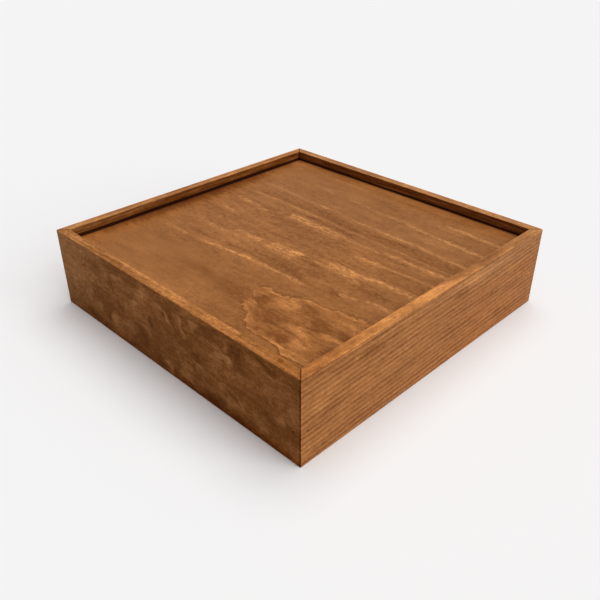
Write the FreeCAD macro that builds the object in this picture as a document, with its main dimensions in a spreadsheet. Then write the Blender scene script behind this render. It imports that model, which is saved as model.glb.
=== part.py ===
import FreeCAD, Part
import math
import os
import Sketcher
from FreeCAD import Placement, Rotation, Vector

# A square wooden keepsake box whose flat lid slides in grooves below the rim.
# Four walls meet in mitres and carry two grooves each: one for the lid, one for the bottom.
# The left wall's lid groove is opened into a slot, and the lid slides out there towards -X.
# The origin is at the centre of the footprint, on the table, with +Z up and X along the lid's grain.

# Driving dimensions in millimetres
DIMENSIONS = [
    ("box_length", 330.0, "outside size along X"),
    ("box_depth", 330.0, "outside size along Y"),
    ("box_height", 80.5, "table to rim"),
    ("wall_thickness", 9.5, "planed board of the walls"),
    ("rim_height", 8.2, "wood above the lid groove"),
    ("groove_depth", 4.5, "depth of both grooves into the wall"),
    ("lid_thickness", 4.0, "sliding panel"),
    ("lid_play_above", 2.0, "open gap between the lid and the wood over it"),
    ("lid_play_below", 0.3, "running gap under the lid"),
    ("lid_side_gap", 0.5, "gap from the lid's edge to the bottom of its groove"),
    ("lid_edge_radius", 0.5, "softening of the lid's edges"),
    ("lid_corner_radius", 2.0, "plan radius of the lid's leading corners"),
    ("base_height", 5.0, "table to the underside of the bottom panel"),
    ("base_thickness", 4.0, "bottom panel"),
    ("base_play", 0.2, "slack of the bottom panel in its groove"),
    ("base_edge_gap", 0.5, "gap from the bottom panel's edge to the bottom of its groove"),
    ("base_edge_radius", 0.4, "softening of the bottom panel's edges"),
    ("corner_radius", 1.2, "sanded round of the upright corners"),
    ("edge_radius", 0.8, "sanded round of the outer long edges"),
    ("inner_edge_radius", 0.5, "sanded round of the rim's inner edge"),
    ("slot_edge_radius", 0.4, "sanded round of the slot's edges"),
    ("mitre_ease", 0.15, "flat that breaks the show edges of the mitres"),
    ("pin_radius", 0.6, "headless steel pin"),
    ("pin_length", 20.0, "headless steel pin"),
    ("pin_hole_gap", 0.05, "space around a pin in its hole"),
    ("pin_tip_gap", 0.4, "space past a pin's tip"),
    ("pin_sink", 0.6, "depth of a pin's head below the face"),
    ("pin_inset", 7.5, "distance of a pin from its corner"),
    ("pin_height_front", 29.8, "height of the pins driven through the front and back"),
    ("pin_height_side", 31.6, "height of the pins driven through the sides"),
    ("cut_margin", 6.0, "how far a cutting outline runs past the wood"),
]

# Places worked out from the driving dimensions, as expressions over the sheet
HALF_LENGTH = "dims.box_length / 2"
HALF_DEPTH = "dims.box_depth / 2"
TOP = "dims.box_height"
GROOVE_TOP = "dims.box_height - dims.rim_height"
LID_BOTTOM = GROOVE_TOP + " - dims.lid_play_above - dims.lid_thickness"
GROOVE_FLOOR = LID_BOTTOM + " - dims.lid_play_below"
BASE_BOTTOM = "dims.base_height"
BASE_GROOVE_TOP = "dims.base_height + dims.base_thickness + dims.base_play"
GROOVED_THICKNESS = "dims.wall_thickness - dims.groove_depth"
PIN_REACH = "dims.pin_sink + dims.pin_length"
PIN_HOLE_RADIUS = "dims.pin_radius + dims.pin_hole_gap"
LID_TUCK = "(dims.wall_thickness - dims.groove_depth + dims.lid_side_gap)"
BASE_TUCK = "(dims.wall_thickness - dims.groove_depth + dims.base_edge_gap)"

# Smallest difference between two places that counts as one place
SAME = 1e-4

doc = FreeCAD.newDocument("sliding_lid_box")
dims = doc.addObject("Spreadsheet::Sheet", "dims")
for row, (alias, size, meaning) in enumerate(DIMENSIONS, start=1):
    dims.set(f"A{row}", alias)
    dims.set(f"B{row}", str(size))
    dims.set(f"C{row}", meaning)
    dims.setAlias(f"B{row}", alias)
doc.recompute()


def value(expression):
    """The number that an expression over the sheet gives now."""
    return float(dims.evalExpression(expression))


def new_body(name):
    """An empty body whose label names its file."""
    body = doc.addObject("PartDesign::Body", name)
    body.Label = name
    return body


def new_sketch(body, plane_role, name):
    """A sketch on one of the body's own origin planes."""
    plane = next(item for item in body.Origin.OriginFeatures if item.Role == plane_role)
    sketch = body.newObject("Sketcher::SketchObject", f"{body.Name}_{name}")
    sketch.AttachmentSupport = [(plane, "")]
    sketch.MapMode = "FlatFace"
    return sketch


def fix(sketch, kind, geometry, point, expression):
    """Hold a point's distance from the sketch's origin to an expression."""
    index = sketch.addConstraint(
        Sketcher.Constraint(kind, -1, 1, geometry, point, value(expression))
    )
    sketch.setExpression(f"Constraints[{index}]", expression)


def arc_between(start, end, radius):
    """The short arc from start to end that bulges to the right of the way it runs."""
    chord = end.sub(start)
    rise = radius - math.sqrt(radius ** 2 - chord.Length ** 2 / 4)
    side = Vector(chord.y, -chord.x, 0).normalize()
    middle = start.add(end).multiply(0.5).add(side.multiply(rise))
    return Part.Arc(start, middle, end)


def draw_outline(sketch, corners, round_edges=None):
    """A closed outline through corners given as expression pairs.

    round_edges maps an edge's number to the radius expression of the arc that replaces it.
    """
    round_edges = round_edges or {}
    points = [Vector(value(across), value(up), 0) for across, up in corners]
    count = len(points)
    for number, start in enumerate(points):
        end = points[(number + 1) % count]
        if number in round_edges:
            sketch.addGeometry(arc_between(start, end, value(round_edges[number])), False)
        else:
            sketch.addGeometry(Part.LineSegment(start, end), False)
    for number in range(count):
        following = (number + 1) % count
        sketch.addConstraint(Sketcher.Constraint("Coincident", number, 2, following, 1))
    for number, (across, up) in enumerate(corners):
        fix(sketch, "DistanceX", number, 1, across)
        fix(sketch, "DistanceY", number, 1, up)
    for number, radius in round_edges.items():
        index = sketch.addConstraint(Sketcher.Constraint("Radius", number, value(radius)))
        sketch.setExpression(f"Constraints[{index}]", radius)


def draw_circle(sketch, across, up, radius):
    """A circle whose centre and radius follow expressions."""
    centre = Vector(value(across), value(up), 0)
    circle = Part.Circle(centre, Vector(0, 0, 1), value(radius))
    number = sketch.addGeometry(circle, False)
    fix(sketch, "DistanceX", number, 3, across)
    fix(sketch, "DistanceY", number, 3, up)
    index = sketch.addConstraint(Sketcher.Constraint("Radius", number, value(radius)))
    sketch.setExpression(f"Constraints[{index}]", radius)


def pad(body, sketch, name, length, symmetric=False):
    """Raise a sketch into solid wood."""
    feature = body.newObject("PartDesign::Pad", f"{body.Name}_{name}")
    feature.Profile = sketch
    feature.SideType = "Symmetric" if symmetric else "One side"
    feature.setExpression("Length", length)
    doc.recompute()
    return feature


def cut_through(body, sketch, name, both_ways=True, flip=False):
    """Cut a sketch through everything, and make sure that it removed wood."""
    before = body.Shape.Volume
    feature = body.newObject("PartDesign::Pocket", f"{body.Name}_{name}")
    feature.Profile = sketch
    feature.Type = "ThroughAll"
    feature.SideType = "Symmetric" if both_ways else "One side"
    feature.Reversed = flip
    doc.recompute()
    if body.Shape.Volume >= before - SAME:
        raise RuntimeError(f"{feature.Name} removes nothing")
    return feature


def mirror_ends(body, features, name):
    """Repeat features at the other end of a board."""
    middle = next(item for item in body.Origin.OriginFeatures if item.Role == "YZ_Plane")
    mirrored = body.newObject("PartDesign::Mirrored", f"{body.Name}_{name}")
    mirrored.Originals = features
    mirrored.MirrorPlane = (middle, [""])
    body.Tip = mirrored
    doc.recompute()
    return mirrored


def dress_edges(body, feature_type, name, size_name, size, chosen):
    """Fillet or chamfer the edges of the body that the test picks."""
    base = body.Tip
    picked = [
        f"Edge{number}" for number, edge in enumerate(base.Shape.Edges, start=1) if chosen(edge)
    ]
    if not picked:
        raise RuntimeError(f"{body.Name} has no edge for {name}")
    feature = body.newObject(feature_type, f"{body.Name}_{name}")
    feature.Base = (base, picked)
    feature.setExpression(size_name, size)
    doc.recompute()
    return feature


def soften(body, name, radius, chosen):
    """Round edges as sanding does."""
    return dress_edges(body, "PartDesign::Fillet", name, "Radius", radius, chosen)


def ease(body, name, size, chosen):
    """Break edges with a small flat."""
    return dress_edges(body, "PartDesign::Chamfer", name, "Size", size, chosen)


def level_edge_at(height, across=None):
    """A test for edges that lie at a height and, if across is given, at one local Y."""
    def chosen(edge):
        box = edge.BoundBox
        if abs(box.ZMin - height) > SAME or abs(box.ZMax - height) > SAME:
            return False
        if across is None:
            return True
        return abs(box.YMin - across) < SAME and abs(box.YMax - across) < SAME
    return chosen


# Walls

def mitre_outline(half_run, half_span):
    """The wedge of waste past a mitre, with the sanded round of the upright corner."""
    outer = f"-({half_span})"
    tangent = f"{half_run} - dims.corner_radius"
    round_x = f"{half_run} - dims.corner_radius * (1 - sqrt(0.5))"
    round_y = f"{outer} + dims.corner_radius * (1 - sqrt(0.5))"
    inner = "dims.wall_thickness + dims.cut_margin"
    return [
        (tangent, outer),
        (round_x, round_y),
        (f"{half_run} - ({inner})", f"{outer} + {inner}"),
        (f"{half_run} + dims.cut_margin", f"{outer} + {inner}"),
        (f"{half_run} + dims.cut_margin", f"{outer} - dims.cut_margin"),
        (tangent, f"{outer} - dims.cut_margin"),
    ]


def wall_profile(half_span):
    """The section of a wall, with the bottom panel's groove and the lid's groove."""
    outer = f"-({half_span})"
    inner = f"{outer} + dims.wall_thickness"
    grooved = f"{outer} + {GROOVED_THICKNESS}"
    return [
        (outer, "0"),
        (inner, "0"),
        (inner, BASE_BOTTOM),
        (grooved, BASE_BOTTOM),
        (grooved, BASE_GROOVE_TOP),
        (inner, BASE_GROOVE_TOP),
        (inner, GROOVE_FLOOR),
        (grooved, GROOVE_FLOOR),
        (grooved, GROOVE_TOP),
        (inner, GROOVE_TOP),
        (inner, TOP),
        (outer, TOP),
    ]


def mitred_board(body, half_run, half_span, run):
    """A board along local X with its outer face towards local -Y, mitred at both ends."""
    section = new_sketch(body, "YZ_Plane", "section")
    draw_outline(section, wall_profile(half_span))
    pad(body, section, "board", run, symmetric=True)
    waste = new_sketch(body, "XY_Plane", "mitre_waste")
    draw_outline(waste, mitre_outline(half_run, half_span), {0: "dims.corner_radius"})
    mitre = cut_through(body, waste, "mitre")
    mirror_ends(body, [mitre], "other_mitre")


def drill_for_pins(body, half_run, half_span, own_height, other_height):
    """Holes for the wall's own pins and for the ends of its neighbours' pins."""
    face_sketch = new_sketch(body, "XZ_Plane", "own_pin")
    draw_circle(face_sketch, f"{half_run} - dims.pin_inset", own_height, PIN_HOLE_RADIUS)
    own_hole = cut_through(body, face_sketch, "own_pin_hole")
    end_sketch = new_sketch(body, "YZ_Plane", "neighbour_pin")
    draw_circle(end_sketch, f"-({half_span}) + dims.pin_inset", other_height, PIN_HOLE_RADIUS)
    hole_end = f"{half_run} - ({PIN_REACH}) - dims.pin_tip_gap"
    end_sketch.setExpression("AttachmentOffset.Base.z", hole_end)
    doc.recompute()
    end_hole = cut_through(body, end_sketch, "neighbour_pin_hole", both_ways=False, flip=True)
    mirror_ends(body, [own_hole, end_hole], "other_pin_holes")


def open_slot(body, half_run):
    """Open the lid groove through the wall, as far as the neighbours' grooves are deep."""
    half_slot = f"({half_run} - ({GROOVED_THICKNESS}))"
    slot = new_sketch(body, "XZ_Plane", "slot")
    draw_outline(
        slot,
        [
            (f"-{half_slot}", GROOVE_FLOOR),
            (half_slot, GROOVE_FLOOR),
            (half_slot, GROOVE_TOP),
            (f"-{half_slot}", GROOVE_TOP),
        ],
    )
    cut_through(body, slot, "slot_cut")


def sand_wall(body, half_run, half_span):
    """Round the outer long edges and the rim, and ease the show edges of the mitres."""
    end = value(half_run)
    outer = -value(half_span)
    inner = outer + value("dims.wall_thickness")
    corner_radius = value("dims.corner_radius")
    edge_radius = value("dims.edge_radius")
    rim = value(TOP)

    def outer_edge(edge):
        box = edge.BoundBox
        level = any(level_edge_at(height)(edge) for height in (0.0, rim))
        return level and box.YMin < outer + SAME and box.YMax < outer + corner_radius

    def mitre_show_edge(edge):
        on_mitre = all(
            abs((end - abs(point.X)) - (point.Y - outer)) < SAME for point in edge.Vertexes
        )
        box = edge.BoundBox
        outermost = box.YMax < outer + corner_radius
        return on_mitre and len(edge.Vertexes) == 2 and (outermost or box.ZMin > rim - edge_radius)

    soften(body, "outer_edges", "dims.edge_radius", outer_edge)
    soften(body, "rim_edge", "dims.inner_edge_radius", level_edge_at(rim, inner))
    ease(body, "mitre_edges", "dims.mitre_ease", mitre_show_edge)


def wall(name, turn, run, along, across, own_height, other_height, slotted=False):
    """A wall of the box: a grooved board, mitred, drilled, sanded and turned to its side."""
    body = new_body(name)
    mitred_board(body, along, across, run)
    drill_for_pins(body, along, across, own_height, other_height)
    if slotted:
        open_slot(body, along)
    sand_wall(body, along, across)
    if slotted:
        outer = -value(across)
        soften(body, "slot_floor", "dims.slot_edge_radius", level_edge_at(value(GROOVE_FLOOR), outer))
        soften(body, "slot_head", "dims.slot_edge_radius", level_edge_at(value(GROOVE_TOP), outer))
    body.Placement = Placement(Vector(0, 0, 0), Rotation(Vector(0, 0, 1), turn))
    return body


def four_walls():
    """Front and back run along X; the right wall stops the lid and the left one lets it out."""
    along_x = ("dims.box_length", HALF_LENGTH, HALF_DEPTH)
    along_x += ("dims.pin_height_front", "dims.pin_height_side")
    along_y = ("dims.box_depth", HALF_DEPTH, HALF_LENGTH)
    along_y += ("dims.pin_height_side", "dims.pin_height_front")
    return [
        wall("front_wall", 0, *along_x),
        wall("right_wall", 90, *along_y),
        wall("back_wall", 180, *along_x),
        wall("left_wall", 270, *along_y, slotted=True),
    ]


# Panels

def lid_panel():
    """The sliding lid: three edges run in grooves and the fourth closes the slot."""
    body = new_body("lid")
    closed_end = f"{HALF_LENGTH} - {LID_TUCK}"
    side = f"{HALF_DEPTH} - {LID_TUCK}"
    corner = "dims.lid_corner_radius"
    plan = new_sketch(body, "XY_Plane", "plan")
    draw_outline(
        plan,
        [
            (f"-({HALF_LENGTH})", f"-({side})"),
            (f"{closed_end} - {corner}", f"-({side})"),
            (closed_end, f"-({side}) + {corner}"),
            (closed_end, f"{side} - {corner}"),
            (f"{closed_end} - {corner}", side),
            (f"-({HALF_LENGTH})", side),
        ],
        {1: corner, 3: corner},
    )
    plan.setExpression("AttachmentOffset.Base.z", LID_BOTTOM)
    pad(body, plan, "board", "dims.lid_thickness")
    levels = (value(LID_BOTTOM), value(LID_BOTTOM) + value("dims.lid_thickness"))
    soften(
        body,
        "edges",
        "dims.lid_edge_radius",
        lambda edge: any(level_edge_at(level)(edge) for level in levels),
    )
    return body


def bottom_panel():
    """The bottom, held in the walls' lower grooves."""
    body = new_body("bottom_panel")
    end = f"{HALF_LENGTH} - {BASE_TUCK}"
    side = f"{HALF_DEPTH} - {BASE_TUCK}"
    plan = new_sketch(body, "XY_Plane", "plan")
    draw_outline(
        plan,
        [
            (f"-({end})", f"-({side})"),
            (end, f"-({side})"),
            (end, side),
            (f"-({end})", side),
        ],
    )
    plan.setExpression("AttachmentOffset.Base.z", BASE_BOTTOM)
    pad(body, plan, "board", "dims.base_thickness")
    levels = (value(BASE_BOTTOM), value(BASE_BOTTOM) + value("dims.base_thickness"))
    soften(
        body,
        "edges",
        "dims.base_edge_radius",
        lambda edge: any(level_edge_at(level)(edge) for level in levels),
    )
    return body


# Fasteners

def pin(name, turn, half_run, half_span, height, end):
    """One headless pin through the face of the side at this turn, near the end given as 1 or -1."""
    cylinder = doc.addObject("Part::Cylinder", name)
    cylinder.setExpression("Radius", "dims.pin_radius")
    cylinder.setExpression("Height", "dims.pin_length")
    along = f"{end} * ({half_run} - dims.pin_inset)"
    across = f"-({half_span} - dims.pin_sink)"
    swing = f"{turn} deg"
    cylinder.Placement = Placement(
        Vector(0, 0, 0),
        Rotation(Vector(0, 0, 1), turn).multiply(Rotation(Vector(1, 0, 0), -90)),
    )
    cylinder.setExpression("Placement.Base.x", f"({along}) * cos({swing}) - ({across}) * sin({swing})")
    cylinder.setExpression("Placement.Base.y", f"({along}) * sin({swing}) + ({across}) * cos({swing})")
    cylinder.setExpression("Placement.Base.z", height)
    return cylinder


def corner_pins():
    """Eight pins: each wall is pinned to both of its neighbours."""
    front = (HALF_LENGTH, HALF_DEPTH, "dims.pin_height_front")
    side = (HALF_DEPTH, HALF_LENGTH, "dims.pin_height_side")
    pins = []
    for turn, sizes in ((0, front), (90, side), (180, front), (270, side)):
        for end in (1, -1):
            pins.append(pin(f"pin_{turn}_{'right' if end > 0 else 'left'}", turn, *sizes, end))
    group = doc.addObject("Part::Compound", "corner_pins")
    group.Label = "corner_pins"
    group.Links = pins
    return group


sub_parts = four_walls() + [lid_panel(), bottom_panel(), corner_pins()]
doc.recompute()

# Every object has to be sound before any file is written
for item in doc.Objects:
    if "Invalid" in item.State or "Error" in item.State:
        raise RuntimeError(f"{item.Name} failed: {item.State}")
for item in sub_parts:
    if item.Shape.isNull() or not item.Shape.isValid():
        raise RuntimeError(f"{item.Label} has no valid shape")

os.makedirs("parts", exist_ok=True)
for item in sub_parts:
    item.Shape.exportStep(f"parts/{item.Label}.step")
    box = item.Shape.optimalBoundingBox(False)
    print(
        f"{item.Label}: {len(item.Shape.Solids)} solid(s), {item.Shape.Volume / 1000:.2f} cm3,"
        f" X {box.XMin:.2f} to {box.XMax:.2f}, Y {box.YMin:.2f} to {box.YMax:.2f},"
        f" Z {box.ZMin:.2f} to {box.ZMax:.2f}"
    )
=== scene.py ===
import math
from collections import namedtuple

import bpy
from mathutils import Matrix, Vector


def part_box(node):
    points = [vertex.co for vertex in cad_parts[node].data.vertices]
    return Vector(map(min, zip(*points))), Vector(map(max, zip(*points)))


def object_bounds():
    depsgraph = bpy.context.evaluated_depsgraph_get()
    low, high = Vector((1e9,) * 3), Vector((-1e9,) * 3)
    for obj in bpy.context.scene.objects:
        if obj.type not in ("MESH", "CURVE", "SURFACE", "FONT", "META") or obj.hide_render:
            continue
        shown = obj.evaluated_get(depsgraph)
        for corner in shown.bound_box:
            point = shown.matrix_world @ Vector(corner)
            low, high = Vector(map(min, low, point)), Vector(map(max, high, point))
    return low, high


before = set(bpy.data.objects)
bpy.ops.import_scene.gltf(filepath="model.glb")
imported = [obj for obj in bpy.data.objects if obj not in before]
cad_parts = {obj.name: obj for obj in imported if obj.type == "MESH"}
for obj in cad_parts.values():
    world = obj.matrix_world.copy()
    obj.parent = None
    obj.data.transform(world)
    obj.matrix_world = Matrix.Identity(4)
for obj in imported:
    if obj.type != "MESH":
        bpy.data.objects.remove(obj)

cad_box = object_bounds()

# Camera: place in metres, lens and sensor in millimetres, azimuth and elevation in degrees as a lamp's
CAMERA_PLACE = (0.4222, -0.4242, 0.3673)
CAMERA_AZIMUTH = -45.15
CAMERA_ELEVATION = 31.45
CAMERA_LENS = 41.37
SENSOR_WIDTH = 36.0

# Lamps: azimuth from +X towards +Y, elevation and angular size in degrees
Lamp = namedtuple("Lamp", "name azimuth elevation size strength colour")
SIDE_LAMP = Lamp("side_lamp", 5.0, 35.0, 60.0, 1.74, (0.955, 1.008, 1.030))
TOP_LAMP = Lamp("top_lamp", 98.0, 75.5, 54.0, 1.63, (0.962, 1.010, 1.020))
SKY_STRENGTH = 0.20
SKY_COLOUR = (1.20, 0.955, 0.90)

# Floor and backdrop, radius in metres
FLOOR_RADIUS = 6.0
FLOOR_EDGES = 128
FLOOR_COLOUR = (0.890, 0.890, 0.890)
FLOOR_ROUGHNESS = 0.9
BACKDROP_COLOUR = (0.905, 0.905, 0.905)

MM_PER_M = 1000.0

# Clearances of the part in millimetres that its pieces' bounds don't give
LID_PLAY_BELOW = 0.3
LID_PLAY_ABOVE = 2.0
PIN_INSET = 7.5

# Places in millimetres, read from the frame
HALF_WIDTH = cad_box[1][0] * MM_PER_M
GROOVE_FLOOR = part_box("lid")[0][2] * MM_PER_M - LID_PLAY_BELOW
GROOVE_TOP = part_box("lid")[1][2] * MM_PER_M + LID_PLAY_ABOVE

# Stain colours from the darkest pore to the palest late wood, linear, with their place on the tone scale
STAIN = (
    (0.00, (0.036, 0.0070, 0.0008)),
    (0.25, (0.100, 0.0240, 0.0026)),
    (0.50, (0.208, 0.0670, 0.0125)),
    (0.75, (0.420, 0.1660, 0.0480)),
    (1.00, (0.800, 0.3350, 0.0950)),
)
# How a full measure of warmth changes a stain colour
WARMTH = (0.04, -0.10, -0.38)

# The rubbed finish: its roughness, how dull it is in a groove, and its relief, with the depth in metres
SATIN_ROUGHNESS = 0.46
GROOVE_DULLNESS = 0.5
FIBRE_RELIEF = 0.9
PORE_RELIEF = -0.6
RING_RELIEF = 0.3
BUMP_STRENGTH = 0.6
BUMP_DEPTH = 0.00025

# Changes of tone and warmth that several pieces share
PORE_TONE = -0.05
MOTTLE_WARMTH = 0.9

PANEL_TONE = 0.58
PANEL_ROUGHNESS = 0.58

# Steel of the pins, linear colours, and the size of its scratches in millimetres
STEEL = (
    (0.0, (0.008, 0.006, 0.005)),
    (1.0, (0.040, 0.032, 0.026)),
)
SCRATCH = 1.0 / 6.0


class Graph:
    """Adds shader nodes to one tree and joins them; a value may be a number, a vector or a socket."""

    def __init__(self, tree):
        self.tree = tree

    def add(self, kind, **settings):
        node = self.tree.nodes.new(kind)
        for name, value in settings.items():
            setattr(node, name, value)
        return node

    def feed(self, socket, value):
        if isinstance(value, bpy.types.NodeSocket):
            self.tree.links.new(value, socket)
        else:
            socket.default_value = value

    def feed_all(self, node, values):
        """Feeds a node's first inputs in their order."""
        for socket, value in zip(node.inputs, values):
            self.feed(socket, value)

    def math(self, operation, *values):
        node = self.add("ShaderNodeMath", operation=operation)
        self.feed_all(node, values)
        return node.outputs[0]

    def minus(self, a, b):
        return self.math("SUBTRACT", a, b)

    def total(self, *values):
        result = values[0]
        for value in values[1:]:
            result = self.math("ADD", result, value)
        return result

    def product(self, *values):
        result = values[0]
        for value in values[1:]:
            result = self.math("MULTIPLY", result, value)
        return result

    def plus(self, start, *terms):
        """Start and the terms added up, each term a value and its weight."""
        result = start
        for value, weight in terms:
            result = self.math("MULTIPLY_ADD", value, weight, result)
        return result

    def vector(self, operation, *values):
        node = self.add("ShaderNodeVectorMath", operation=operation)
        self.feed_all(node, values)
        return node.outputs["Vector"]

    def combine(self, x, y, z):
        node = self.add("ShaderNodeCombineXYZ")
        self.feed_all(node, (x, y, z))
        return node.outputs[0]

    def split(self, vector):
        node = self.add("ShaderNodeSeparateXYZ")
        self.feed(node.inputs[0], vector)
        return tuple(node.outputs)

    def length(self, x, y):
        """The length of a flat vector."""
        node = self.add("ShaderNodeVectorMath", operation="LENGTH")
        self.feed(node.inputs[0], self.combine(x, y, 0.0))
        return node.outputs["Value"]

    def step(self, value, low, high, at_low=0.0, at_high=1.0):
        """A smooth step from at_low to at_high while value goes from low to high."""
        node = self.add("ShaderNodeMapRange", interpolation_type="SMOOTHSTEP")
        self.feed_all(node, (value, low, high, at_low, at_high))
        return node.outputs[0]

    def line(self, value, low, high, at_low=0.0, at_high=1.0):
        """A straight ramp, held at its two ends."""
        node = self.add("ShaderNodeMapRange", interpolation_type="LINEAR", clamp=True)
        self.feed_all(node, (value, low, high, at_low, at_high))
        return node.outputs[0]

    def noise_node(self, place, along, across, seed, detail, roughness):
        """Noise with features of these lengths in millimetres along and across the grain."""
        scaled = self.vector("MULTIPLY", place, (1.0 / along, 1.0 / across, 1.0 / across))
        node = self.add("ShaderNodeTexNoise", noise_dimensions="3D")
        self.feed(node.inputs["Vector"], self.vector("ADD", scaled, (seed, seed * 0.7, seed * 1.3)))
        self.feed(node.inputs["Scale"], 1.0)
        self.feed(node.inputs["Detail"], detail)
        self.feed(node.inputs["Roughness"], roughness)
        return node

    def noise(self, place, along, across, seed, detail, roughness):
        """One noise, spread around zero."""
        node = self.noise_node(place, along, across, seed, detail, roughness)
        return self.minus(node.outputs[0], 0.5)

    def noise_vector(self, place, along, across, seed, detail):
        """Three noises at once, each spread around zero."""
        node = self.noise_node(place, along, across, seed, detail, 0.5)
        return self.vector("SUBTRACT", node.outputs["Color"], (0.5, 0.5, 0.5))

    def random(self, value):
        node = self.add("ShaderNodeTexWhiteNoise", noise_dimensions="1D")
        self.feed(node.inputs["W"], value)
        return node.outputs["Value"]

    def ramp(self, value, stops):
        node = self.add("ShaderNodeValToRGB")
        elements = node.color_ramp.elements
        while len(elements) < len(stops):
            elements.new(0.5)
        for element, (place, colour) in zip(elements, stops):
            element.position = place
            element.color = (*colour, 1.0)
        self.feed(node.inputs[0], value)
        return node.outputs[0]

    def call(self, group, **values):
        node = self.add("ShaderNodeGroup", node_tree=group)
        for name, value in values.items():
            self.feed(node.inputs[name], value)
        return node.outputs[0]


def new_group(name, inputs):
    """An empty node group with float inputs and one float output, and its Graph."""
    tree = bpy.data.node_groups.new(name, "ShaderNodeTree")
    for label in inputs:
        tree.interface.new_socket(label, in_out="INPUT", socket_type="NodeSocketFloat")
    tree.interface.new_socket("Value", in_out="OUTPUT", socket_type="NodeSocketFloat")
    graph = Graph(tree)
    given = graph.add("NodeGroupInput").outputs
    result = graph.add("NodeGroupOutput").inputs[0]
    return tree, graph, given, result


def make_streak_group():
    """A tapered stripe along the grain: one side is crisp, the other fades."""
    inputs = ("before", "u", "v", "u0", "v0", "u1", "v1", "bow", "width", "strength", "crisp")
    tree, g, given, result = new_group("streak", inputs)
    along = g.math("DIVIDE", g.minus(given["u"], given["u0"]), g.minus(given["u1"], given["u0"]))
    window = g.product(g.step(along, -0.03, 0.09), g.step(along, 1.03, 0.91))
    bow = g.product(4.0, along, g.minus(1.0, along), given["bow"])
    rise = g.product(g.minus(given["v1"], given["v0"]), along)
    path = g.total(given["v0"], rise, bow)
    offset = g.math("DIVIDE", g.minus(given["v"], path), given["width"])
    crisp_side = g.product(offset, given["crisp"])
    crisp_edge, soft_edge = 3.0, -0.85
    distance = g.math("MAXIMUM", g.product(crisp_side, crisp_edge), g.product(crisp_side, soft_edge))
    body = g.step(distance, 1.0, 0.15)
    g.feed(result, g.plus(given["before"], (g.product(window, body), given["strength"])))
    return tree


def make_spot_group():
    """A soft oval patch, turned by an angle in radians."""
    inputs = ("before", "u", "v", "u0", "v0", "half_u", "half_v", "turn", "strength")
    tree, g, given, result = new_group("spot", inputs)
    du = g.minus(given["u"], given["u0"])
    dv = g.minus(given["v"], given["v0"])
    cosine = g.math("COSINE", given["turn"])
    sine = g.math("SINE", given["turn"])
    a = g.math("DIVIDE", g.total(g.product(du, cosine), g.product(dv, sine)), given["half_u"])
    b = g.math("DIVIDE", g.minus(g.product(dv, cosine), g.product(du, sine)), given["half_v"])
    body = g.step(g.length(a, b), 1.0, 0.25)
    g.feed(result, g.plus(given["before"], (body, given["strength"])))
    return tree


STREAK_GROUP = make_streak_group()
SPOT_GROUP = make_spot_group()


def grain_axes(g, vector, along, across, depth):
    """Turns a vector so that the grain runs along its first axis."""
    axes = g.split(vector)
    return g.combine(*(axes["XYZ".index(letter)] for letter in (along, across, depth)))


def millimetres(g):
    """Object coordinates in millimetres."""
    coordinates = g.add("ShaderNodeTexCoord").outputs["Object"]
    return g.vector("MULTIPLY", coordinates, (MM_PER_M,) * 3)


def grain_place(g, along, across, depth):
    """Object coordinates in millimetres, turned so that the grain runs along the first axis."""
    return grain_axes(g, millimetres(g), along, across, depth)


def grain_normal(g, along, across, depth):
    """The surface normal, turned as the grain coordinates are."""
    return grain_axes(g, g.add("ShaderNodeTexCoord").outputs["Normal"], along, across, depth)


def bent(g, place, shift, along, across, seed, detail=2.0):
    """Moves grain coordinates by noise: shift is how far along and across the grain, in millimetres."""
    offset = g.noise_vector(place, along, across, seed, detail)
    return g.vector("MULTIPLY_ADD", offset, (shift[0], shift[1], shift[1]), place)


def growth_rings(g, place, pith, spacing, seed, slope=0.0, waver=3.0, steady=0.3):
    """Late wood, 0 to 1, in each ring around a pith line; slope is its rise along the grain.

    Waver is how many rings the pattern wanders, and steady the share of strength that all rings have.
    """
    u, v, w = g.split(place)
    dv = g.minus(g.plus(v, (u, -slope)), pith[0])
    dw = g.minus(w, pith[1])
    radius = g.math("DIVIDE", g.length(dv, dw), spacing)
    rings = g.plus(radius, (g.noise(place, 200.0, 12.0, seed, detail=2.0, roughness=0.6), waver))
    phase = g.math("FRACT", rings)
    own = g.random(g.math("FLOOR", rings))
    late = g.product(g.step(phase, 0.10, 0.65), g.step(phase, 1.0, 0.75))
    return g.product(late, g.line(own, 0.0, 1.0, steady, 1.0))


def fibres(g, place, length, width, seed):
    """Lengthwise fibres of five widths, the widest as given, around zero."""
    return g.noise(place, length, width, seed, detail=4.0, roughness=0.85)


def grit(g, place, length, width, seed):
    """Fine mottle of four sizes that reaches down to single fibre ends, around zero."""
    return g.noise(place, length, width, seed, detail=3.0, roughness=0.95)


def pores(g, place, seed):
    """Short dark dashes, 0 to 1."""
    cells = g.noise(place, 5.5, 0.6, seed, detail=1.0, roughness=0.5)
    return g.step(cells, 0.10, 0.22)


def edge_distance(g, low, high):
    """Distance in millimetres to the nearest edge of a box, for a point on its surface."""
    gaps = []
    for axis, lowest, highest in zip(g.split(millimetres(g)), low, high):
        middle = (lowest + highest) / 2 * MM_PER_M
        half = (highest - lowest) / 2 * MM_PER_M
        gaps.append(g.minus(half, g.math("ABSOLUTE", g.minus(axis, middle))))
    a, b, c = gaps
    return g.math("MAXIMUM", g.math("MINIMUM", a, b), g.math("MINIMUM", g.math("MAXIMUM", a, b), c))


def worn_edge(g, node, place, seed):
    """Where the arrises of a board are rubbed, 0 to 1, in broken stretches."""
    rub = g.line(g.noise(place, 9.0, 3.0, seed, detail=2.0, roughness=0.6), -0.12, 0.16)
    return g.product(g.step(edge_distance(g, *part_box(node)), 1.5, 0.3), rub)


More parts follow.
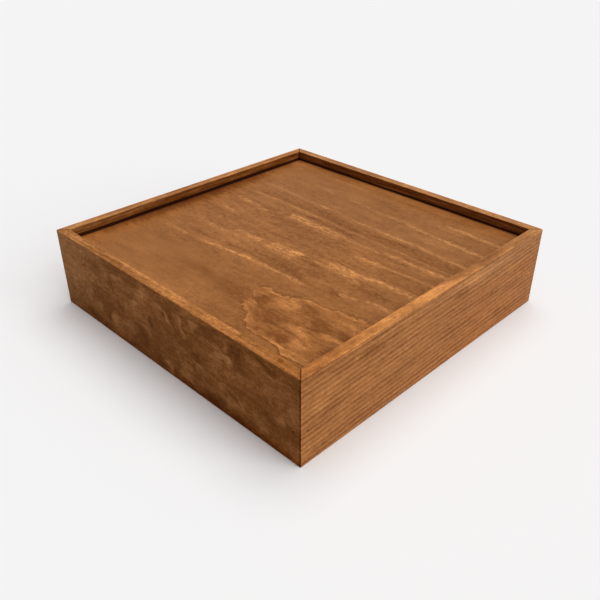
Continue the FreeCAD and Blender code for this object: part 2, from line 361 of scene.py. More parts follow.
def new_material(name):
    material = bpy.data.materials.new(name)
    material.use_nodes = True
    tree = material.node_tree
    tree.nodes.clear()
    g = Graph(tree)
    shader = g.add("ShaderNodeBsdfPrincipled")
    output = g.add("ShaderNodeOutputMaterial")
    tree.links.new(shader.outputs[0], output.inputs["Surface"])
    return material, g, shader


def satin(g, fibre, cloud, pore, dull):
    """The roughness of the rubbed finish, duller inside a groove."""
    return g.plus(SATIN_ROUGHNESS, (fibre, 0.20), (cloud, 0.10), (pore, 0.10), (dull, GROOVE_DULLNESS))


def relief(g, fibre, pore):
    """The height of the surface: its fibres stand out and its pores lie deeper."""
    return g.plus(g.product(fibre, FIBRE_RELIEF), (pore, PORE_RELIEF))


def finish_wood(g, shader, tone, warmth, height, roughness, sheen=0.05):
    """Joins a wood's tone, warmth, height and roughness to its shader; sheen is the specular level."""
    tint = g.vector("MULTIPLY_ADD", g.combine(warmth, warmth, warmth), WARMTH, (1.0, 1.0, 1.0))
    g.feed(shader.inputs["Base Color"], g.vector("MULTIPLY", g.ramp(tone, STAIN), tint))
    g.feed(shader.inputs["Roughness"], roughness)
    bump = g.add("ShaderNodeBump")
    g.feed(bump.inputs["Strength"], BUMP_STRENGTH)
    g.feed(bump.inputs["Distance"], BUMP_DEPTH)
    g.feed(bump.inputs["Height"], height)
    g.feed(shader.inputs["Normal"], bump.outputs[0])
    shader.inputs["Specular IOR Level"].default_value = sheen


# The lid's tone and what each layer and part adds to it
LID_TONE = 0.617
LID_FIBRE = 0.25
LID_MOTTLE = 0.22
LID_GRIT = 0.38
LID_CLOUD = 0.22
WORN_LID_TONE = 0.08
# Painted shade on the margin that the grooves and the slot cover
PAINTED_MARGIN_SHADE_TONE = -0.44
PLY_TONE = -0.13
OUTER_LINE_TONE = -0.09
DARK_ISLANDS = -0.12
PALE_ISLANDS = 0.16
STREAK_GAIN = 1.7

# The lid's margin that the grooves and the slot cover, darkened with painted shade: from the lid's middle
# line, where its painted shade starts, where it is full, where it begins to fade, where the lid ends, and
# the share left there
Margin = namedtuple("Margin", "start full fade edge left")
SIDE_PAINTED_SHADE = Margin(start=153.6, full=155.3, fade=155.6, edge=159.5, left=0.35)
END_PAINTED_SHADE = Margin(start=-153.2, full=-155.3, fade=-155.6, edge=-162.0, left=0.10)

# Lid figure, in millimetres on its top face: start and end of each streak, its bow, width and strength.
# Crisp is 1 where the upper side is the sharp one and -1 where the lower side is.
Streak = namedtuple("Streak", "u0 v0 u1 v1 bow width strength crisp")
LID_STREAKS = (
    Streak(-80, 140, -26, 138, 0, 4.0, 0.09, 1),
    Streak(84, 123, 165, 118, 1, 5.0, 0.15, -1),
    Streak(100, 127, 116, 126, 0, 2.6, 0.10, 1),
    Streak(-84, 111, -52, 105, 2, 5.0, 0.08, 1),
    Streak(-32, 103, 62, 97, 1, 4.2, 0.10, -1),
    Streak(50, 95, 165, 86, 2, 4.6, 0.17, -1),
    Streak(-128, 74, -30, 72, 0, 4.0, 0.10, -1),
    Streak(-40, 72, 36, 68, 0, 4.0, 0.11, -1),
    Streak(30, 68, 165, 60, 1, 4.4, 0.15, -1),
    Streak(-120, 50, -85, 49, 0, 4.6, 0.13, -1),
    Streak(-90, 51, 30, 44, 0, 4.0, 0.13, -1),
    Streak(20, 46, 165, 41, 0, 3.4, 0.13, -1),
    Streak(-48, 33, 24, 33, 1, 9.0, 0.19, 1),
    Streak(18, 34, 74, 32, 0, 6.0, 0.15, 1),
    Streak(76, 35, 165, 36, 0, 6.0, 0.17, 1),
    Streak(-124, 29, -66, 23, 2, 6.5, 0.12, 1),
    Streak(54, 12, 165, 16, 0, 4.4, 0.13, 1),
    Streak(-118, 2, -92, 0, 0, 4.5, 0.11, 1),
    Streak(26, -26, 54, -21, 0, 3.0, 0.13, 1),
    Streak(52, -15, 92, -13, 0, 12.0, 0.19, 1),
    Streak(70, -22, 96, -24, 0, 5.0, 0.10, 1),
    Streak(91, -12, 165, -9, 2, 9.0, 0.18, 1),
    Streak(-92, -36, -60, -38, 0, 8.0, 0.13, 1),
    Streak(-62, -25, -24, -27, 0, 7.0, 0.16, 1),
    Streak(-58, -35, -28, -36, 0, 5.0, 0.11, 1),
    Streak(-14, -22, 28, -21, 0, 13.0, 0.24, 1),
    Streak(-16, -32, 22, -34, 0, 7.0, 0.12, 1),
    Streak(97, -48, 112, -45, 0, 4.6, 0.16, 1),
    Streak(121, -42, 165, -43, 1, 6.5, 0.17, 1),
    Streak(-72, -65, 66, -59, 2, 5.0, 0.19, 1),
    Streak(-122, -67, -86, -67, 0, 6.0, 0.11, 1),
    Streak(-130, 61, 165, 51, 0, 13.0, -0.08, 1),
    Streak(-60, 64, 165, 57, 0, 5.0, -0.08, 1),
    Streak(-60, 43, 40, 40, 0, 3.0, -0.12, 1),
    Streak(-40, -47, 60, -52, 0, 9.0, -0.09, -1),
    Streak(24, -24, 60, -27, 0, 8.0, -0.12, 1),
    Streak(82, -46, 100, -52, 0, 8.0, -0.10, 1),
    Streak(-80, -58, 70, -55, 1, 3.6, -0.09, -1),
    Streak(95, -27, 165, -30, 0, 9.0, -0.07, 1),
)

# Lid patch: a ragged flat-cut figure that opens towards +X, its upper and lower outline as (u, v),
# and the range of v that holds them both
PATCH_UPPER = ((40, -89), (46, -86), (66, -84), (86, -77), (112, -69), (133, -67), (170, -70))
PATCH_LOWER = ((40, -89), (46, -105), (50, -116), (64, -127), (80, -136), (114, -140), (170, -144))
PATCH_RANGE = (-160.0, -60.0)

# An oval patch: its middle, its half lengths, its turn in degrees and its change of tone
Spot = namedtuple("Spot", "u0 v0 half_u half_v turn strength")
# Dark and pale islands in the patch
PATCH_SPOTS = (
    Spot(60, -98, 12, 12, 10, -0.20),
    Spot(100, -87, 13, 9, 0, -0.17),
    Spot(119, -98, 14, 13, -20, -0.26),
    Spot(142, -94, 14, 6, 0, -0.16),
    Spot(82, -117, 18, 12, 0, -0.18),
    Spot(104, -130, 16, 6, -10, -0.18),
    Spot(146, -118, 10, 9, 0, -0.20),
    Spot(54, -110, 8, 6, -30, 0.22),
    Spot(78, -91, 18, 9, 0, 0.18),
    Spot(138, -104, 20, 4, 10, 0.22),
    Spot(108, -115, 20, 6, 0, 0.20),
    Spot(122, -126, 14, 6, 0, 0.20),
    Spot(140, -80, 22, 7, 0, 0.13),
    Spot(130, -136, 30, 6, 0, 0.10),
)
# Broad changes of tone of the lid; the first, along its left end by the wall, is painted shade
LID_TONES_AND_PAINTED_SHADE = (
    # Painted shade along the lid's left end, beside the left wall
    Spot(-165, 0, 34, 190, 0, -0.35),
    Spot(15, 150, 44, 14, 0, 0.08),
    Spot(-30, -46, 44, 9, 0, 0.07),
    Spot(-20, -105, 40, 9, 0, -0.05),
    Spot(104, 86, 44, 10, 0, 0.07),
    Spot(20, 162, 200, 20, 0, 0.07),
    Spot(-30, -152, 110, 16, 0, 0.06),
    Spot(30, -112, 45, 22, 0, -0.07),
)
# Where the lid's figure is stronger or quieter, as a change of its contrast
LID_CALM = (
    Spot(0, -5, 220, 80, 0, 0.45),
    Spot(-70, -112, 120, 42, 0, -0.60),
    Spot(-70, 122, 120, 36, 0, -0.35),
)


def streaks_on(g, place, streaks):
    """The streaks' tone added up, each passing its sum on to the next."""
    u, v = g.split(place)[:2]
    tone = 0.0
    for streak in streaks:
        tone = g.call(STREAK_GROUP, before=tone, u=u, v=v, **streak._asdict())
    return tone


def spots_on(g, u, v, spots, before=0.0):
    """The spots' tone added up, each passing its sum on to the next."""
    tone = before
    for spot in spots:
        values = spot._asdict()
        values["turn"] = math.radians(spot.turn)
        tone = g.call(SPOT_GROUP, before=tone, u=u, v=v, **values)
    return tone


def outline_height(g, u, points):
    """The v of an outline at u, through points given in millimetres."""
    first, last = points[0][0], points[-1][0]
    low, high = PATCH_RANGE
    node = g.add("ShaderNodeFloatCurve")
    curve = node.mapping.curves[0]
    shares = [((u0 - first) / (last - first), (v0 - low) / (high - low)) for u0, v0 in points]
    for place, share in zip(curve.points, (shares[0], shares[-1])):
        place.location = share
    for share in shares[1:-1]:
        curve.points.new(*share)
    node.mapping.update()
    g.feed(node.inputs["Factor"], 1.0)
    g.feed(node.inputs["Value"], g.line(u, first, last))
    return g.line(node.outputs[0], 0.0, 1.0, low, high)


def lid_patch(g, wavy):
    """The ragged patch: where it is, 0 to 1, and the tones of its border and of its islands."""
    torn = bent(g, wavy, shift=(18.0, 13.0), along=17.0, across=12.0, seed=7.7, detail=4.0)
    torn = bent(g, torn, shift=(6.0, 5.0), along=5.0, across=3.4, seed=7.9, detail=1.0)
    u, v = g.split(torn)[:2]
    dashes = g.noise(wavy, 18.0, 3.0, 3.6, detail=4.0, roughness=0.9)
    islands = g.plus(spots_on(g, u, v, PATCH_SPOTS), (dashes, 0.85))
    dark = g.product(g.step(islands, 0.02, -0.22), DARK_ISLANDS)
    islands = g.plus(dark, (g.step(islands, 0.0, 0.20), PALE_ISLANDS))
    above = g.minus(outline_height(g, u, PATCH_UPPER), v)
    below = g.minus(v, outline_height(g, u, PATCH_LOWER))
    inside = g.math("MINIMUM", above, below)
    body = g.step(inside, -0.2, 0.7)
    border = g.product(body, g.step(inside, 6.5, 1.5), g.line(dashes, -0.14, 0.12, 0.04, 0.18))
    outer_line = g.product(g.step(inside, -2.6, -0.9), g.step(inside, 0.3, -0.4), g.step(u, 36.0, 44.0))
    return body, g.plus(border, (outer_line, OUTER_LINE_TONE)), islands


def lid_figure(g, wavy, ragged, body, border, islands):
    """The lid's figure as a change of tone: its broken streaks, its patch, its broad tones and the painted
    shade by its left wall.
    """
    dashes = g.noise(wavy, 7.0, 2.2, 5.0, detail=3.0, roughness=0.9)
    streaks = g.product(streaks_on(g, ragged, LID_STREAKS), g.line(dashes, -0.14, 0.14, 0.0, STREAK_GAIN))
    tones_and_painted_shade = spots_on(g, *g.split(ragged)[:2], LID_TONES_AND_PAINTED_SHADE)
    return g.total(streaks, border, g.product(islands, body), tones_and_painted_shade)


def painted_margin_shade(g, distance, margin):
    """A margin's painted shade at a distance from the lid's middle line, 0 to 1."""
    dark = g.step(distance, margin.start, margin.full)
    return g.product(dark, g.line(distance, margin.fade, margin.edge, 1.0, margin.left))


def lid_painted_margin_shade(g, x, y):
    """The lid's margin, darkened with painted shade, which the grooves and the slot cover when it is
    closed.
    """
    side = painted_margin_shade(g, g.math("ABSOLUTE", y), SIDE_PAINTED_SHADE)
    return g.math("MAXIMUM", side, painted_margin_shade(g, x, END_PAINTED_SHADE))


def lid_ply(g, place):
    """The darker core of a three-ply panel, 0 to 1, on the lid's edges."""
    low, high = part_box("lid")
    middle = (low[2] + high[2]) / 2 * MM_PER_M
    upright = g.step(g.math("ABSOLUTE", g.split(grain_normal(g, "X", "Y", "Z"))[2]), 0.6, 0.3)
    height = g.math("ABSOLUTE", g.minus(g.split(place)[2], middle))
    return g.product(upright, g.step(height, 1.1, 0.8))


def lid_warmth(g, x, y, mottle, body):
    """The lid is warmer along its left and back edges and in its patch, and cooler before its back edge."""
    warm_edge = g.math("MAXIMUM", g.step(x, -118.0, -150.0), g.step(y, 128.0, 154.0))
    cool_back = g.step(y, 20.0, 80.0)
    return g.plus(-0.22, (cool_back, -0.15), (warm_edge, 0.5), (mottle, MOTTLE_WARMTH), (body, 0.25))


def lid_wood():
    """The lid's wood: pale torn streaks, a ragged patch near one corner and a margin darkened with painted
    shade.
    """
    material, g, shader = new_material("lid_wood")
    place = grain_place(g, "X", "Y", "Z")
    x, y = g.split(place)[:2]
    wavy = bent(g, place, shift=(0.0, 9.0), along=75.0, across=28.0, seed=3.1)
    ragged = bent(g, wavy, shift=(18.0, 4.8), along=9.0, across=4.5, seed=8.4, detail=4.0)
    body, border, islands = lid_patch(g, wavy)
    figure = lid_figure(g, wavy, ragged, body, border, islands)
    fibre = fibres(g, wavy, 60.0, 6.0, 6.3)
    mottle = g.noise(ragged, 16.0, 9.0, 2.9, detail=4.0, roughness=0.8)
    speckle = grit(g, wavy, 5.0, 3.2, 4.4)
    cloud = g.noise(wavy, 60.0, 22.0, 1.7, detail=2.0, roughness=0.6)
    pore = pores(g, wavy, 9.2)
    grain = g.plus(0.0, (fibre, LID_FIBRE), (mottle, LID_MOTTLE), (speckle, LID_GRIT))
    contrast = g.plus(spots_on(g, *g.split(wavy)[:2], LID_CALM, before=1.0), (body, 0.15))
    tone = g.plus(g.total(LID_TONE, figure), (cloud, LID_CLOUD), (grain, contrast))
    worn = worn_edge(g, "lid", place, 12.0)
    # Painted shade along the margin under the grooves and the slot; the same mask dulls the finish
    margin = lid_painted_margin_shade(g, x, y)
    tone = g.plus(tone, (pore, PORE_TONE), (worn, WORN_LID_TONE), (margin, PAINTED_MARGIN_SHADE_TONE))
    tone = g.plus(tone, (lid_ply(g, place), PLY_TONE))
    warmth = lid_warmth(g, x, y, mottle, body)
    finish_wood(g, shader, tone, warmth, relief(g, fibre, pore), satin(g, fibre, cloud, pore, margin))
    return material


# A wall's wood: tones are places on the scale of STAIN, lengths are in millimetres.
# node, along, depth: its node and the axes along its grain and through its thickness
# side: 1 where its outer face looks along that axis, and -1 where it looks back
# seed: of its noise, and face, rim, inside: the tones of its sides
# pith, spacing, slope, waver, steady: its rings, as growth_rings takes them, and ring_tone: their strength
# stripe, grit: the strength of its fibres on the rim and of its fine mottle
# warmth, rim_warmth, lean: its warmth, what its rim adds, and how that leans along the wall
# sheen: its specular level, lip: how far the painted shade of its groove reaches above the groove
# seam: how wide the dark line at its corners is, and pins: the height of its pins
Wall = namedtuple("Wall", (
    "node along depth side seed face rim inside pith spacing ring_tone slope waver steady "
    "stripe grit warmth rim_warmth lean sheen lip seam pins"))
FRONT_WALL = Wall(
    node="front_wall", along="X", depth="Y", side=-1, seed=11.0, face=0.518, rim=0.685, inside=0.47,
    pith=(150.0, -235.0), spacing=3.4, ring_tone=0.12, slope=0.0, waver=3.0, steady=0.3,
    stripe=0.72, grit=0.46, warmth=-0.90, rim_warmth=0.70, lean=0.35,
    sheen=0.01, lip=0.5, seam=2.0, pins=29.8)
RIGHT_WALL = Wall(
    node="right_wall", along="Y", depth="X", side=1, seed=31.0, face=0.657, rim=0.785, inside=0.48,
    pith=(-260.0, 120.0), spacing=4.7, ring_tone=-0.17, slope=0.025, waver=0.8, steady=0.7,
    stripe=0.34, grit=0.50, warmth=-0.24, rim_warmth=0.28, lean=-0.40,
    sheen=0.05, lip=0.5, seam=0.7, pins=31.6)
BACK_WALL = Wall(
    node="back_wall", along="X", depth="Y", side=1, seed=51.0, face=0.600, rim=0.750, inside=0.47,
    pith=(-40.0, 190.0), spacing=6.0, ring_tone=0.16, slope=0.01, waver=3.0, steady=0.3,
    stripe=0.40, grit=0.30, warmth=-0.90, rim_warmth=0.30, lean=0.0,
    sheen=0.03, lip=0.2, seam=1.0, pins=29.8)
LEFT_WALL = Wall(
    node="left_wall", along="Y", depth="X", side=-1, seed=71.0, face=0.600, rim=0.680, inside=0.43,
    pith=(-70.0, -130.0), spacing=5.0, ring_tone=0.18, slope=-0.01, waver=3.0, steady=0.3,
    stripe=0.40, grit=0.30, warmth=-0.40, rim_warmth=0.20, lean=0.25,
    sheen=0.03, lip=1.3, seam=1.0, pins=31.6)

# Changes of tone on the walls' outer faces, along the wall and up from the floor
FRONT_SPOTS = (
    Spot(-72, 64, 30, 16, 0, 0.10),
    Spot(0, 60, 18, 14, 0, 0.10),
    Spot(102, 58, 30, 12, 0, -0.11),
    Spot(45, 6, 28, 7, 0, -0.10),
    Spot(-90, 16, 12, 8, 0, -0.10),
    Spot(-150, 62, 46, 50, 0, 0.10),
    Spot(-105, 70, 40, 24, 0, 0.05),
    Spot(-55, 72, 7, 7, 0, 0.12),
    Spot(-66, 68, 6, 5, 30, 0.08),
    Spot(-42, 50, 6, 5, 30, 0.14),
    Spot(-28, 68, 16, 6, 40, 0.10),
    Spot(-86, 64, 12, 8, 30, 0.07),
    Spot(-118, 29, 9, 14, -10, 0.10),
    Spot(-72, 20, 12, 9, 20, 0.13),
    Spot(-51, 24, 13, 10, 0, 0.13),
    Spot(-24, 33, 16, 4, -10, 0.12),
    Spot(14, 59, 5, 12, 10, 0.15),
    Spot(32, 60, 5, 12, -10, 0.13),
    Spot(50, 64, 8, 8, 20, 0.14),
    Spot(84, 65, 4, 10, -30, 0.10),
    Spot(80, 53, 12, 4, 10, 0.13),
    Spot(70, 48, 8, 8, 0, 0.10),
    Spot(119, 70, 12, 4, 0, 0.12),
    Spot(34, 18, 10, 12, 0, 0.12),
    Spot(7, 11, 12, 8, 20, 0.13),
    Spot(84, 13, 12, 6, 0, 0.08),
    Spot(104, 19, 10, 7, 30, 0.09),
    Spot(120, 14, 10, 8, 0, 0.11),
    Spot(148, 28, 10, 12, 0, 0.12),
    Spot(-75, 56, 6, 12, 25, -0.11),
    Spot(-46, 56, 5, 9, 30, -0.11),
    Spot(-19, 41, 9, 4, -20, -0.13),
    Spot(-61, 40, 9, 5, -20, -0.10),
    Spot(-38, 15, 14, 12, 0, -0.12),
    Spot(-86, 24, 12, 14, 0, -0.08),
    Spot(8, 62, 4, 6, 0, -0.12),
    Spot(19, 66, 3, 12, 0, -0.12),
    Spot(67, 72, 14, 8, 0, -0.12),
    Spot(48, 42, 14, 8, -40, -0.14),
    Spot(20, 9, 8, 7, 0, -0.16),
    Spot(64, 8, 18, 9, 0, -0.15),
    Spot(98, 60, 8, 14, 20, -0.08),
    Spot(136, 74, 14, 6, 0, -0.12),
    Spot(103, 5, 12, 4, 0, -0.10),
    Spot(-54, 5, 20, 5, 0, -0.12),
    Spot(-105, 5, 30, 6, 0, -0.08),
    Spot(140, 6, 22, 6, 0, -0.08),
)
RIGHT_SPOTS = (
    Spot(-88, 66, 22, 6, -3, -0.10),
    Spot(-122, 68, 12, 4, 0, -0.06),
    Spot(30, 66, 18, 6, -4, -0.08),
    Spot(62, 74, 70, 8, -2, 0.09),
    Spot(0, 74, 160, 6, -1, 0.03),
    Spot(110, 60, 40, 5, -2, 0.05),
    Spot(75, 44, 24, 7, -2, -0.07),
    Spot(120, 38, 26, 6, -2, -0.06),
    Spot(-135, 36, 14, 8, 0, -0.05),
    Spot(-148, 46, 10, 14, 0, 0.04),
)
# The same on the rims: along the wall and across the box
RIGHT_RIM_SPOTS = (
    Spot(-115, 161, 80, 12, 0, 0.08),
    Spot(10, 160, 60, 12, 0, 0.05),
    Spot(90, 158, 34, 8, 0, -0.15),
    Spot(134, 161, 36, 10, 0, -0.10),
    Spot(-130, 156, 30, 3, 0, -0.06),
)
LEFT_RIM_SPOTS = (
    Spot(56, -163, 46, 5, 0, -0.13),
)

# Over how many millimetres the groove's floor, its lip and the rim blend into the rest of the inside
FLOOR_BLUR = 0.3
LIP_BLUR = 0.8
RIM_BLUR = 3.0

# Radii of a pin's head and of the stain round it, in millimetres
PIN_HEAD = 0.6
PIN_STAIN = 1.25

# What the parts of a wall add to its tone
# Painted shade in the lid groove and on the strip just above it
PAINTED_GROOVE_SHADE_TONE = -0.50
SEAM_TONE = -0.30
PIN_STAIN_TONE = -0.24
WORN_WALL_TONE = 0.09
WALL_CLOUD = 0.14
RIM_CLOUD = 0.28
WALL_MOTTLE = 0.30
DARK_GRAIN = 0.60

# The flamed wall's warmer foot, darkened with painted shade along the floor, its cooler left end, its warm
# flecks and the grit on its rim
PAINTED_FOOT_SHADE_TONE = -0.11
FOOT_WARMTH = 1.1
LEFT_END_WARMTH = -0.25
FLECK_WARMTH = 1.2
RIM_GRIT = 0.30

Sides = namedtuple("Sides", "face rim inside groove")
Grain = namedtuple("Grain", "wavy ragged fibre pore grit cloud mottle rings")


def wall_sides(g, wall, place):
    """Where a wall's outer face, rim and inside are, and its lid groove with the strip above it that gets
    painted shade, each 0 to 1.
    """
    v = g.split(place)[1]
    upward, outward = g.split(grain_normal(g, wall.along, "Z", wall.depth))[1:]
    outward = g.product(outward, float(wall.side))
    face = g.step(outward, 0.4, 0.8)
    rim = g.product(g.step(upward, 0.5, 0.9), g.step(v, GROOVE_TOP, GROOVE_TOP + RIM_BLUR))
    inside = g.step(outward, -0.4, -0.8)
    lip = GROOVE_TOP + wall.lip
    over_floor = g.step(v, GROOVE_FLOOR - FLOOR_BLUR, GROOVE_FLOOR)
    groove = g.product(over_floor, g.step(v, lip, lip - LIP_BLUR), g.minus(1.0, face))
    return Sides(face, rim, inside, groove)


def wall_grain(g, wall, place):
    """A wall's layers of noise, its pores and its rings; a wall of steady rings has a less ragged grain."""
    seed = wall.seed
    tear = 2.2 - 1.6 * wall.steady
    wavy = bent(g, place, shift=(0.0, 4.0), along=90.0, across=30.0, seed=seed)
    ragged = bent(g, wavy, shift=(12.0, tear), along=14.0, across=5.0, seed=seed + 4.0, detail=3.0)
    return Grain(
        wavy=wavy,
        ragged=ragged,
        fibre=fibres(g, wavy, 70.0, 5.0, seed + 5.0),
        pore=pores(g, wavy, seed + 6.0),
        grit=grit(g, wavy, 4.5, 2.8, seed + 10.0),
        cloud=g.noise(wavy, 60.0, 18.0, seed + 2.0, detail=2.0, roughness=0.5),
        mottle=g.noise(ragged, 18.0, 9.0, seed + 3.0, detail=4.0, roughness=0.85),
        rings=growth_rings(
            g, ragged, wall.pith, wall.spacing, seed + 1.0, wall.slope, wall.waver, wall.steady),
    )


def ring_figure(g, wall, grain):
    """What a wall's rings add to its tone; they come and go along the grain."""
    fade = g.noise(grain.ragged, 50.0, 9.0, wall.seed + 7.0, detail=3.0, roughness=0.6)
    fade = g.line(fade, -0.16, 0.16, 0.9 * wall.steady, 1.4)
    mean_ring = 0.28
    return g.product(g.minus(grain.rings, mean_ring), fade, wall.ring_tone)


def flame_figure(g, ragged, seed):
    """A slash-cut board's change of tone, its bright flecks, 0 to 1, and the bent place of its spots."""
    warped = bent(g, ragged, shift=(34.0, 26.0), along=46.0, across=30.0, seed=seed + 20.0)
    curled = bent(g, warped, shift=(18.0, 14.0), along=15.0, across=11.0, seed=seed + 21.0, detail=3.0)
    spotted = bent(g, curled, shift=(6.0, 5.0), along=5.0, across=4.0, seed=seed + 9.0, detail=3.0)
    broad = g.noise(ragged, 52.0, 24.0, seed + 11.0, detail=1.0, roughness=0.5)
    blotch = g.noise(curled, 24.0, 15.0, seed + 22.0, detail=4.0, roughness=0.9)
    fleck = g.step(g.noise(curled, 9.0, 4.5, seed + 23.0, detail=3.0, roughness=0.85), 0.09, 0.24)
    return g.plus(g.product(broad, 0.34), (blotch, 0.62), (fleck, 0.15)), fleck, spotted


def pin_stain(g, wall, place):
    """The dark stain round each pin's hole, 0 to 1."""
    u, v = g.split(place)[:2]
    du = g.minus(g.math("ABSOLUTE", u), HALF_WIDTH - PIN_INSET)
    return g.step(g.length(du, g.minus(v, wall.pins)), PIN_STAIN, PIN_HEAD)


def corner_seam(g, wall, place, face):
    """The dark line where two walls meet in a mitre, 0 to 1, of the wall's own width on the face."""
    u, _, w = g.split(place)
    gap = g.math("ABSOLUTE", g.minus(g.math("ABSOLUTE", u), g.math("ABSOLUTE", w)))
    width = g.line(face, 0.0, 1.0, 1.0, wall.seam)
    return g.step(g.math("DIVIDE", gap, width), 1.0, 0.3)


def grained_tone(g, wall, on, grain, tone):
    """A wall's tone with its fibres, pores, grit and clouds; its rim and inside have more of them."""
    plain_stripe = 0.30
    stripe = g.plus(plain_stripe, (on.rim, wall.stripe - plain_stripe), (on.inside, 0.40))
    dark_grain = g.noise(grain.ragged, 50.0, 2.0, wall.seed + 12.0, detail=2.0, roughness=0.8)
    rim_cloud = g.product(g.total(grain.mottle, grain.cloud), on.rim)
    tone = g.plus(tone, (g.product(on.inside, DARK_GRAIN), dark_grain), (grain.fibre, stripe))
    tone = g.plus(tone, (grain.cloud, WALL_CLOUD), (grain.pore, PORE_TONE))
    return g.plus(tone, (grain.grit, wall.grit), (rim_cloud, RIM_CLOUD))


def edged_tone(g, wall, on, place, tone):
    """A wall's tone with its rubbed arrises, its dark corner lines and the stains round its pins."""
    worn = worn_edge(g, wall.node, place, wall.seed + 8.0)
    seam = corner_seam(g, wall, place, on.face)
    stain = g.product(pin_stain(g, wall, place), on.face)
    return g.plus(tone, (worn, WORN_WALL_TONE), (seam, SEAM_TONE), (stain, PIN_STAIN_TONE))


def wall_warmth(g, wall, on, place, mottle):
    """A wall's warmth, which leans along its rim and inside; the far end of a +X or +Y face is warmer."""
    u, v = g.split(place)[:2]
    lean = g.product(u, wall.lean / HALF_WIDTH, g.plus(on.rim, (on.inside, 2.0)))
    warmth = g.plus(g.total(wall.warmth, lean), (on.rim, wall.rim_warmth), (mottle, MOTTLE_WARMTH))
    if wall.side < 0:
        return warmth
    return g.total(warmth, g.product(on.face, g.step(u, -40.0, 120.0), g.step(v, 72.0, 54.0, -0.35, 0.40)))


def wall_wood(wall, face_spots=(), rim_spots=(), flamed=False):
    """A wall's wood: its own figure on the face, a paler rubbed rim, a darker inside and painted shade in
    and above its groove.
    """
    material, g, shader = new_material(wall.node + "_wood")
    place = grain_place(g, wall.along, "Z", wall.depth)
    u, v = g.split(place)[:2]
    on = wall_sides(g, wall, place)
    grain = wall_grain(g, wall, place)
    rings = ring_figure(g, wall, grain)
    warmth = wall_warmth(g, wall, on, place, grain.mottle)
    # The groove and the strip above it get painted shade
    tone = g.plus(
        wall.face, (on.rim, wall.rim - wall.face), (on.inside, wall.inside - wall.face),
        (on.groove, PAINTED_GROOVE_SHADE_TONE))
    spotted = grain.ragged
    if flamed:
        figure, fleck, spotted = flame_figure(g, grain.ragged, wall.seed)
        tone = g.plus(tone, (figure, on.face), (rings, g.minus(1.0, on.face)))
    else:
        tone = g.plus(g.total(tone, rings), (grain.mottle, WALL_MOTTLE))
    if face_spots:
        tone = g.plus(tone, (spots_on(g, *g.split(spotted)[:2], face_spots), on.face))
    if rim_spots:
        rim_u, _, rim_w = g.split(grain.ragged)
        tone = g.plus(tone, (spots_on(g, rim_u, rim_w, rim_spots), on.rim))
    tone = edged_tone(g, wall, on, place, grained_tone(g, wall, on, grain, tone))
    if flamed:
        # Painted shade along the floor darkens the foot of the face
        shaded_foot = g.product(on.face, g.step(u, -60.0, 60.0), g.step(v, 14.0, 2.0))
        left_end = g.product(on.face, g.step(u, -90.0, -150.0))
        tone = g.plus(tone, (shaded_foot, PAINTED_FOOT_SHADE_TONE), (g.product(grain.grit, on.rim), RIM_GRIT))
        warmth = g.plus(warmth, (shaded_foot, FOOT_WARMTH), (left_end, LEFT_END_WARMTH))
        warmth = g.plus(warmth, (g.product(fleck, on.face), FLECK_WARMTH))
    height = g.plus(relief(g, grain.fibre, grain.pore), (grain.rings, RING_RELIEF))
    roughness = satin(g, grain.fibre, grain.cloud, grain.pore, on.groove)
    finish_wood(g, shader, tone, warmth, height, roughness, wall.sheen)
    return material


def panel_wood():
    """The bottom panel's wood: plainer and less rubbed than the rest."""
    material, g, shader = new_material("bottom_panel_wood")
    place = grain_place(g, "X", "Y", "Z")
    wavy = bent(g, place, shift=(0.0, 7.0), along=80.0, across=30.0, seed=91.0)
    ragged = bent(g, wavy, shift=(10.0, 3.0), along=16.0, across=7.0, seed=92.0, detail=3.0)
    cloud = g.noise(wavy, 70.0, 24.0, 93.0, detail=2.0, roughness=0.5)
    rings = growth_rings(g, ragged, pith=(-210.0, -40.0), spacing=11.0, seed=94.0)
    fibre = fibres(g, wavy, 60.0, 6.0, 95.0)
    pore = pores(g, wavy, 96.0)
    tone = g.plus(PANEL_TONE, (cloud, 0.16), (rings, 0.12), (fibre, 0.30), (pore, PORE_TONE))
    roughness = g.plus(PANEL_ROUGHNESS, (fibre, 0.15))
    finish_wood(g, shader, tone, g.product(cloud, 0.8), relief(g, fibre, pore), roughness)
    return material


def pin_steel():
    """Dark steel with fine scratches."""
    material, g, shader = new_material("dark_pin_steel")
    scratch = g.noise(millimetres(g), SCRATCH, SCRATCH, 0.0, detail=3.0, roughness=0.6)
    tone = g.line(scratch, -0.3, 0.3)
    g.feed(shader.inputs["Base Color"], g.ramp(tone, STEEL))
    g.feed(shader.inputs["Roughness"], g.line(tone, 0.0, 1.0, 0.35, 0.6))
    shader.inputs["Metallic"].default_value = 0.8
    return material


def dress(node, material):
    """Gives a node's object this material in each of its slots."""
    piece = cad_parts[node]
    if not piece.material_slots:
        piece.data.materials.append(material)
    for slot in piece.material_slots:
        slot.material = material


def make_floor():
    """A wide, plain, pale floor."""
    bpy.ops.mesh.primitive_circle_add(vertices=FLOOR_EDGES, radius=FLOOR_RADIUS, fill_type="NGON")
    floor = bpy.context.object
    floor.name = "floor"
    material, g, shader = new_material("pale_floor")
    g.feed(shader.inputs["Base Color"], (*FLOOR_COLOUR, 1.0))
    shader.inputs["Roughness"].default_value = FLOOR_ROUGHNESS
    shader.inputs["Specular IOR Level"].default_value = 0.0
    floor.data.materials.append(material)


def direction(azimuth, elevation):
    """The unit vector at an azimuth from +X towards +Y and an elevation, in degrees."""
    azimuth, elevation = math.radians(azimuth), math.radians(elevation)
    return Vector((
        math.cos(azimuth) * math.cos(elevation),
        math.sin(azimuth) * math.cos(elevation),
        math.sin(elevation),
    ))


def place_in_scene(name, data, back):
    """An object in the scene whose +Z points along back, the way that lamps and cameras don't look."""
    holder = bpy.data.objects.new(name, data)
    bpy.context.scene.collection.objects.link(holder)
    holder.rotation_mode = "QUATERNION"
    holder.rotation_quaternion = back.to_track_quat("Z", "Y")
    return holder


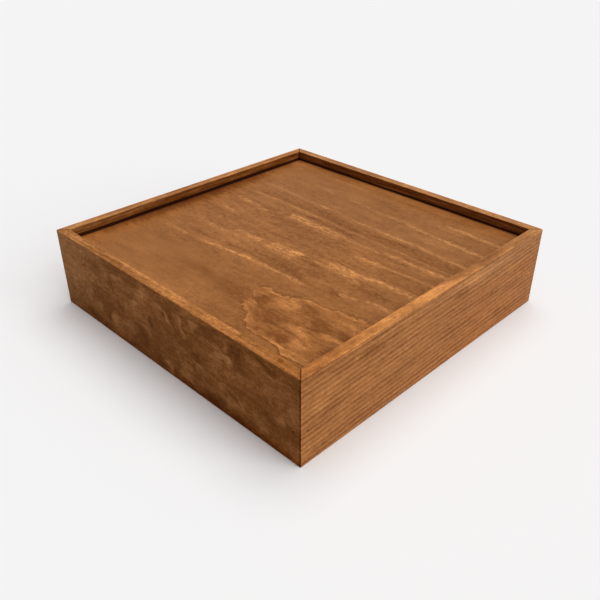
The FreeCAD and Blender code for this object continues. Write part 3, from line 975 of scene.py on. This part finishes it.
def make_lamp(lamp):
    """A soft distant lamp that shines from its azimuth and elevation."""
    light = bpy.data.lights.new(lamp.name, "SUN")
    light.energy = lamp.strength
    light.color = lamp.colour
    light.angle = math.radians(lamp.size)
    place_in_scene(lamp.name, light, direction(lamp.azimuth, lamp.elevation))


def make_sky():
    """Even light from all round; the camera and reflections see the pale backdrop instead."""
    world = bpy.data.worlds.new("studio")
    bpy.context.scene.world = world
    world.use_nodes = True
    world.node_tree.nodes.clear()
    g = Graph(world.node_tree)
    path = g.add("ShaderNodeLightPath").outputs
    shown = g.math("MAXIMUM", path["Is Camera Ray"], path["Is Glossy Ray"])
    shown = g.math("MAXIMUM", shown, path["Is Transmission Ray"])
    light = g.add("ShaderNodeBackground")
    g.feed(light.inputs["Color"], (*SKY_COLOUR, 1.0))
    g.feed(light.inputs["Strength"], SKY_STRENGTH)
    backdrop = g.add("ShaderNodeBackground")
    g.feed(backdrop.inputs["Color"], (*BACKDROP_COLOUR, 1.0))
    mix = g.add("ShaderNodeMixShader")
    g.feed_all(mix, (shown, light.outputs[0], backdrop.outputs[0]))
    output = g.add("ShaderNodeOutputWorld")
    g.feed(output.inputs["Surface"], mix.outputs[0])


def make_camera():
    data = bpy.data.cameras.new("camera")
    data.lens = CAMERA_LENS
    data.sensor_width = SENSOR_WIDTH
    camera = place_in_scene("camera", data, direction(CAMERA_AZIMUTH, CAMERA_ELEVATION))
    camera.location = CAMERA_PLACE
    bpy.context.scene.camera = camera


dress("front_wall", wall_wood(FRONT_WALL, face_spots=FRONT_SPOTS, flamed=True))
dress("right_wall", wall_wood(RIGHT_WALL, face_spots=RIGHT_SPOTS, rim_spots=RIGHT_RIM_SPOTS))
dress("back_wall", wall_wood(BACK_WALL))
dress("left_wall", wall_wood(LEFT_WALL, rim_spots=LEFT_RIM_SPOTS))
dress("lid", lid_wood())
dress("bottom_panel", panel_wood())
dress("corner_pins", pin_steel())
make_floor()
make_lamp(SIDE_LAMP)
make_lamp(TOP_LAMP)
make_sky()
make_camera()
bpy.context.scene.view_settings.view_transform = "Standard"
